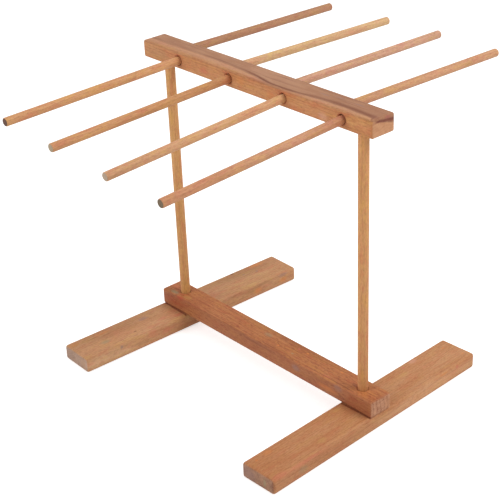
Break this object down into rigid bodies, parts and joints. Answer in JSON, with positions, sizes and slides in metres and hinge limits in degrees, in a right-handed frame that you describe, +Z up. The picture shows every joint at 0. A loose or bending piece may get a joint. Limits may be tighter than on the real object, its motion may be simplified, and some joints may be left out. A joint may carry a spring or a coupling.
{
  "type": "pasta drying rack",
  "caption": "Wooden pasta drying rack with two flat feet, a base rail, two dowel posts and a top bar with loose rods that reach out to the front and back.",
  "frame": {"origin": "on the surface that the rack stands on, under the middle of the top bar", "axes": "+Z up, +X along the bar and the rail to the right, -Y towards the front"},
  "size_m": [0.314, 0.4162, 0.3105],
  "materials": {
    "bar_wood": "sanded beech with a darker heart along its top",
    "rail_wood": "sanded beech, redder than the rest",
    "foot_wood": "sanded beech with fine dark flecks",
    "post_wood": "turned beech dowel",
    "rod_wood": "turned beech dowel",
    "screw_steel": "zinc-plated wood screw"
  },
  "bodies": {
    "base": {"base_rail": "rail_wood", "foot_left": "foot_wood", "foot_right": "foot_wood", "foot_screws": "screw_steel"},
    "post_left": {"post_left": "post_wood"},
    "post_right": {"post_right": "post_wood"},
    "top_bar": {"top_bar": "bar_wood"},
    "rod_front_1": {"rod_front_1": "rod_wood"},
    "rod_front_2": {"rod_front_2": "rod_wood"},
    "rod_front_3": {"rod_front_3": "rod_wood"},
    "rod_front_4": {"rod_front_4": "rod_wood"},
    "rod_back_1": {"rod_back_1": "rod_wood"},
    "rod_back_2": {"rod_back_2": "rod_wood"},
    "rod_back_3": {"rod_back_3": "rod_wood"},
    "rod_back_4": {"rod_back_4": "rod_wood"}
  },
  "joints": [
    {"name": "post_left_lift", "type": "slide", "parent": "base", "child": "post_left", "axis": [0, 0, 1], "range_m": [0, 0.021]},
    {"name": "post_right_lift", "type": "slide", "parent": "base", "child": "post_right", "axis": [0, 0, 1], "range_m": [0, 0.021]},
    {"name": "bar_lift", "type": "slide", "parent": "post_left", "child": "top_bar", "axis": [0, 0, 1], "range_m": [0, 0.014]},
    {"name": "rod_front_1_pull", "type": "slide", "parent": "top_bar", "child": "rod_front_1", "axis": [0.0122, -0.9998, -0.0183], "range_m": [0, 0.022]},
    {"name": "rod_front_2_pull", "type": "slide", "parent": "top_bar", "child": "rod_front_2", "axis": [-0.0037, -0.9993, -0.0366], "range_m": [0, 0.022]},
    {"name": "rod_front_3_pull", "type": "slide", "parent": "top_bar", "child": "rod_front_3", "axis": [0.0116, -0.9987, -0.0488], "range_m": [0, 0.022]},
    {"name": "rod_front_4_pull", "type": "slide", "parent": "top_bar", "child": "rod_front_4", "axis": [0.0037, -0.9989, -0.0476], "range_m": [0, 0.022]},
    {"name": "rod_back_1_pull", "type": "slide", "parent": "top_bar", "child": "rod_back_1", "axis": [-0.0031, 0.9998, -0.0171], "range_m": [0, 0.022]},
    {"name": "rod_back_2_pull", "type": "slide", "parent": "top_bar", "child": "rod_back_2", "axis": [0.0458, 0.9989, -0.0049], "range_m": [0, 0.022]},
    {"name": "rod_back_3_pull", "type": "slide", "parent": "top_bar", "child": "rod_back_3", "axis": [0.0256, 0.9997, -0.0012], "range_m": [0, 0.022]},
    {"name": "rod_back_4_pull", "type": "slide", "parent": "top_bar", "child": "rod_back_4", "axis": [0.0177, 0.9998, -0.0122], "range_m": [0, 0.022]}
  ],
  "couplings": [
    {"joint": "post_right_lift", "follows": "post_left_lift", "ratio": 1}
  ]
}
